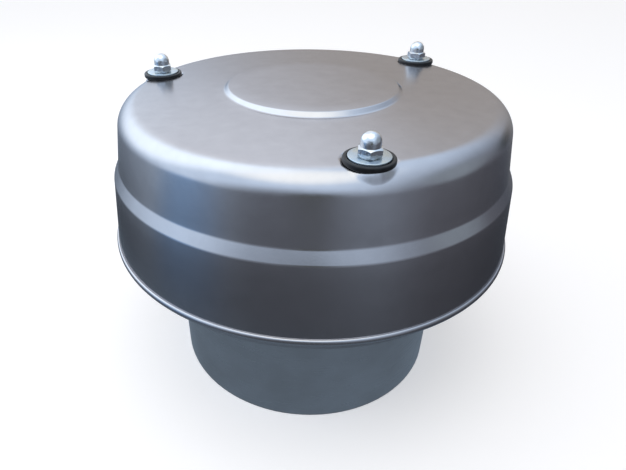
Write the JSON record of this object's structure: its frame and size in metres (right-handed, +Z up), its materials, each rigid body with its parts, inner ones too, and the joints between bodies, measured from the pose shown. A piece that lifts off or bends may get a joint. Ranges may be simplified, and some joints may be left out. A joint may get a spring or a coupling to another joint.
{
  "type": "tank breather valve",
  "caption": "Spring-loaded pressure and vacuum relief valve for a tank roof, with a round weather hood over a plain pipe spigot.",
  "frame": {"origin": "centre of the spigot's lower end", "axes": "+Z up along the valve's axis, from the spigot to the hood; one stud stands towards -Y"},
  "size_m": [0.3843, 0.3844, 0.2985],
  "materials": {
    "hood_sheet": "satin stainless sheet, deep drawn",
    "casing_steel": "satin stainless, rolled and welded",
    "machined_steel": "fine turned",
    "lid_sheet": "satin stainless sheet",
    "zinc_steel": "bright zinc plated",
    "zinc_washer": "blue-passivated zinc plated",
    "domed_nut_chrome": "polished",
    "spring_steel": "drawn stainless wire",
    "bush_plastic": "machined acetal",
    "seal_rubber": "moulded, matt",
    "washer_rubber": "moulded, slightly shiny"
  },
  "bodies": {
    "casing": {"hood": "hood_sheet", "spigot_tube": "casing_steel", "casing_flange": "casing_steel", "flange_band": "casing_steel", "valve_seat": "machined_steel", "studs": "zinc_steel", "stud_base_washers": "zinc_steel", "stud_base_nuts": "zinc_steel", "pressure_springs": "spring_steel", "upper_spring_cups": "zinc_steel", "spring_adjusting_nuts": "zinc_steel", "spring_lock_nuts": "zinc_steel", "hood_support_nuts": "zinc_steel", "hood_support_washers": "zinc_steel", "sealing_washers": "washer_rubber", "flat_washers": "zinc_washer", "acorn_nuts": "domed_nut_chrome"},
    "pressure_lid": {"pressure_lid_plate": "lid_sheet", "pressure_gasket": "seal_rubber", "stud_guide_bushes": "bush_plastic", "lower_spring_cups": "zinc_steel", "vacuum_seat_ring": "machined_steel", "guide_bridge": "lid_sheet", "bridge_washers": "zinc_steel", "bridge_screws": "zinc_steel", "bridge_nuts": "zinc_steel", "spindle_bush": "bush_plastic", "vacuum_spring": "spring_steel"},
    "vacuum_lid": {"vacuum_lid_disc": "lid_sheet", "vacuum_gasket": "seal_rubber", "spindle": "zinc_steel", "disc_clamp_washers": "zinc_steel", "disc_clamp_nuts": "zinc_steel", "vacuum_spring_cup": "zinc_steel", "spindle_adjusting_nut": "zinc_steel", "spindle_lock_nut": "zinc_steel"}
  },
  "joints": [
    {"name": "pressure_lift", "type": "slide", "parent": "casing", "child": "pressure_lid", "axis": [0, 0, 1], "range_m": [0, 0.03], "stiffness_N_per_m": 24600, "springref_m": -0.012, "deforming": ["pressure_springs"]},
    {"name": "vacuum_drop", "type": "slide", "parent": "pressure_lid", "child": "vacuum_lid", "axis": [0, 0, -1], "range_m": [0, 0.02], "stiffness_N_per_m": 1640, "springref_m": -0.0165, "deforming": ["vacuum_spring"]}
  ]
}
